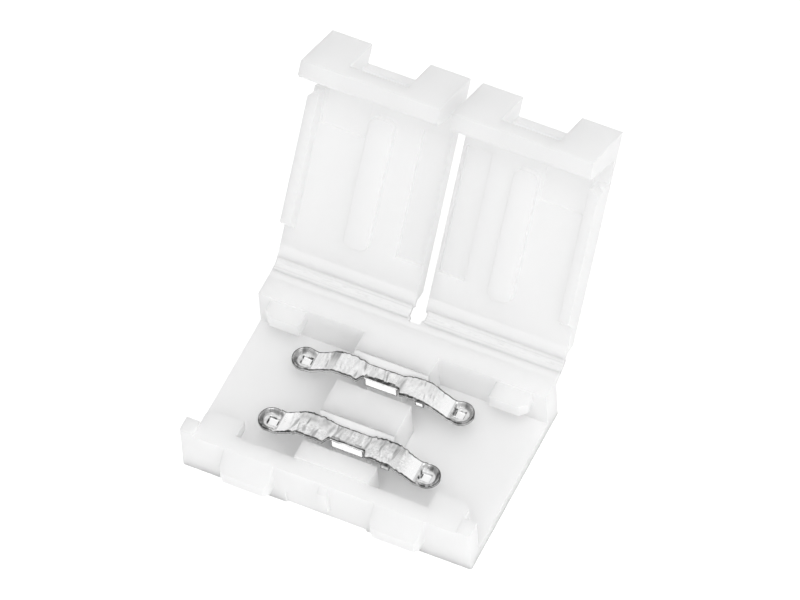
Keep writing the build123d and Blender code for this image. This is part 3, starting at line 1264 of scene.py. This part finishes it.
class CONNECTOR_OT_contacts(bpy.types.Operator):
    """Forms the front and rear contacts from crinkled sheet"""

    bl_idname = "connector.contacts"
    bl_label = "Contacts"

    def execute(self, context):
        settings = context.scene.connector_contact
        for row, marks in ROWS.items():
            node = f"{row}_contact"
            low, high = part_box(node)
            look = {"crinkle": settings.crinkle / MM, **marks}
            mesh = contact_mesh(f"{node}_strip", settings.sheet / MM, look)
            x = (low[0] + high[0]) / 2 + marks["shift"][0] * MM
            y = high[1] - CONTACT_REAR * MM + marks["shift"][1] * MM
            turn = Matrix.Rotation(math.radians(marks["skew"]), 4, "Z")
            mesh.transform(Matrix.Translation(Vector((x, y, 0.0))) @ turn)
            piece = add_piece(f"{node}_strip", mesh, "contact", metal_material())
            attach(piece, "base")
            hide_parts(node)
        return {"FINISHED"}


class CONNECTOR_OT_stage(bpy.types.Operator):
    """Sets up the tabletop, the light and the camera"""

    bl_idname = "connector.stage"
    bl_label = "Studio"

    def execute(self, context):
        look = context.scene.connector_studio
        self.tabletop(context, look)
        self.dome(context, look)
        self.lamp(context, "Overhead lamp", look.overhead, OVERHEAD_PLACE)
        self.lamp(context, "Key lamp", look.key, KEY_PLACE)
        self.camera(context)
        context.scene.view_settings.view_transform = "Standard"
        return {"FINISHED"}

    def tabletop(self, context, look):
        """A flat white tabletop a hair below the part."""
        bm = bmesh.new()
        bmesh.ops.create_grid(bm, x_segments=8, y_segments=8, size=TABLE_HALF)
        bmesh.ops.translate(bm, vec=(0, 0, -TABLE_GAP), verts=bm.verts)
        mesh = bpy.data.meshes.new("tabletop")
        bm.to_mesh(mesh)
        bm.free()
        mesh.materials.append(tabletop_material(look.table))
        table = bpy.data.objects.new("tabletop", mesh)
        context.scene.collection.objects.link(table)

    def dome(self, context, look):
        """Even light, a little stronger from the right, before a backdrop that looks white."""
        world = bpy.data.worlds.new("Studio dome")
        context.scene.world = world
        world.use_nodes = True
        tree = world.node_tree
        tree.nodes.clear()
        output = add_node(tree, "ShaderNodeOutputWorld", 600, 0)
        light = add_node(tree, "ShaderNodeBackground", 100, 100)
        backdrop = add_node(tree, "ShaderNodeBackground", 100, -100)
        backdrop.inputs["Strength"].default_value = 1.0
        backdrop.inputs["Color"].default_value = (1.0, 1.0, 1.0, 1.0)
        place = add_node(tree, "ShaderNodeTexCoord", -900, 200)
        lean = add_node(tree, "ShaderNodeVectorMath", -700, 200, operation="DOT_PRODUCT")
        lean.inputs[1].default_value = DOME_LEAN
        tree.links.new(place.outputs["Generated"], lean.inputs[0])
        strength = math_node(tree, "ADD", -400, 200, lean.outputs["Value"], look.dome)
        tree.links.new(strength, light.inputs["Strength"])
        seen, passing = seen_rays(tree, -400, -200)
        mix = add_node(tree, "ShaderNodeMixShader", 350, 0)
        tree.links.new(math_node(tree, "MAXIMUM", 0, -200, seen, passing), mix.inputs["Fac"])
        tree.links.new(light.outputs["Background"], mix.inputs[1])
        tree.links.new(backdrop.outputs["Background"], mix.inputs[2])
        tree.links.new(mix.outputs["Shader"], output.inputs["Surface"])

    def lamp(self, context, name, power, place):
        """A large round soft lamp that is aimed at the part."""
        data = bpy.data.lights.new(name, "AREA")
        data.shape = "DISK"
        data.size = LAMP_SIZE
        data.energy = power
        holder = bpy.data.objects.new(name, data)
        holder.location = place
        aim = Vector(LAMP_AIM) - holder.location
        holder.rotation_euler = aim.to_track_quat("-Z", "Y").to_euler()
        context.scene.collection.objects.link(holder)

    def camera(self, context):
        """A long lens that looks down on the part from the front right."""
        data = bpy.data.cameras.new("Camera")
        data.sensor_width = 36.0
        data.lens = CAMERA_LENS
        camera = bpy.data.objects.new("Camera", data)
        camera.location = CAMERA_PLACE
        camera.rotation_euler = tuple(math.radians(angle) for angle in CAMERA_TURN)
        context.scene.collection.objects.link(camera)
        context.scene.camera = camera


class CONNECTOR_PT_panel(bpy.types.Panel):
    """Sizes, colours and steps of the connector"""

    bl_idname = "CONNECTOR_PT_panel"
    bl_label = "Strip connector"
    bl_space_type = "VIEW_3D"
    bl_region_type = "UI"
    bl_category = "Connector"

    def draw(self, context):
        layout = self.layout
        scene = context.scene
        for settings in (scene.connector_plastic, scene.connector_contact, scene.connector_studio):
            box = layout.box()
            for key in settings.__annotations__:
                box.prop(settings, key)
        for step in STEPS:
            layout.operator(step.bl_idname)


STEPS = (
    CONNECTOR_OT_base,
    CONNECTOR_OT_covers,
    CONNECTOR_OT_films,
    CONNECTOR_OT_contacts,
    CONNECTOR_OT_stage,
)
CLASSES = (ConnectorPlastic, ConnectorContact, ConnectorStudio, *STEPS, CONNECTOR_PT_panel)


def register():
    for cls in CLASSES:
        bpy.utils.register_class(cls)
    bpy.types.Scene.connector_plastic = PointerProperty(type=ConnectorPlastic)
    bpy.types.Scene.connector_contact = PointerProperty(type=ConnectorContact)
    bpy.types.Scene.connector_studio = PointerProperty(type=ConnectorStudio)


def unregister():
    del bpy.types.Scene.connector_studio
    del bpy.types.Scene.connector_contact
    del bpy.types.Scene.connector_plastic
    for cls in reversed(CLASSES):
        bpy.utils.unregister_class(cls)


def main():
    register()
    bpy.ops.connector.base()
    bpy.ops.connector.covers()
    bpy.ops.connector.films()
    bpy.ops.connector.contacts()
    bpy.ops.connector.stage()


if __name__ == "__main__":
    main()
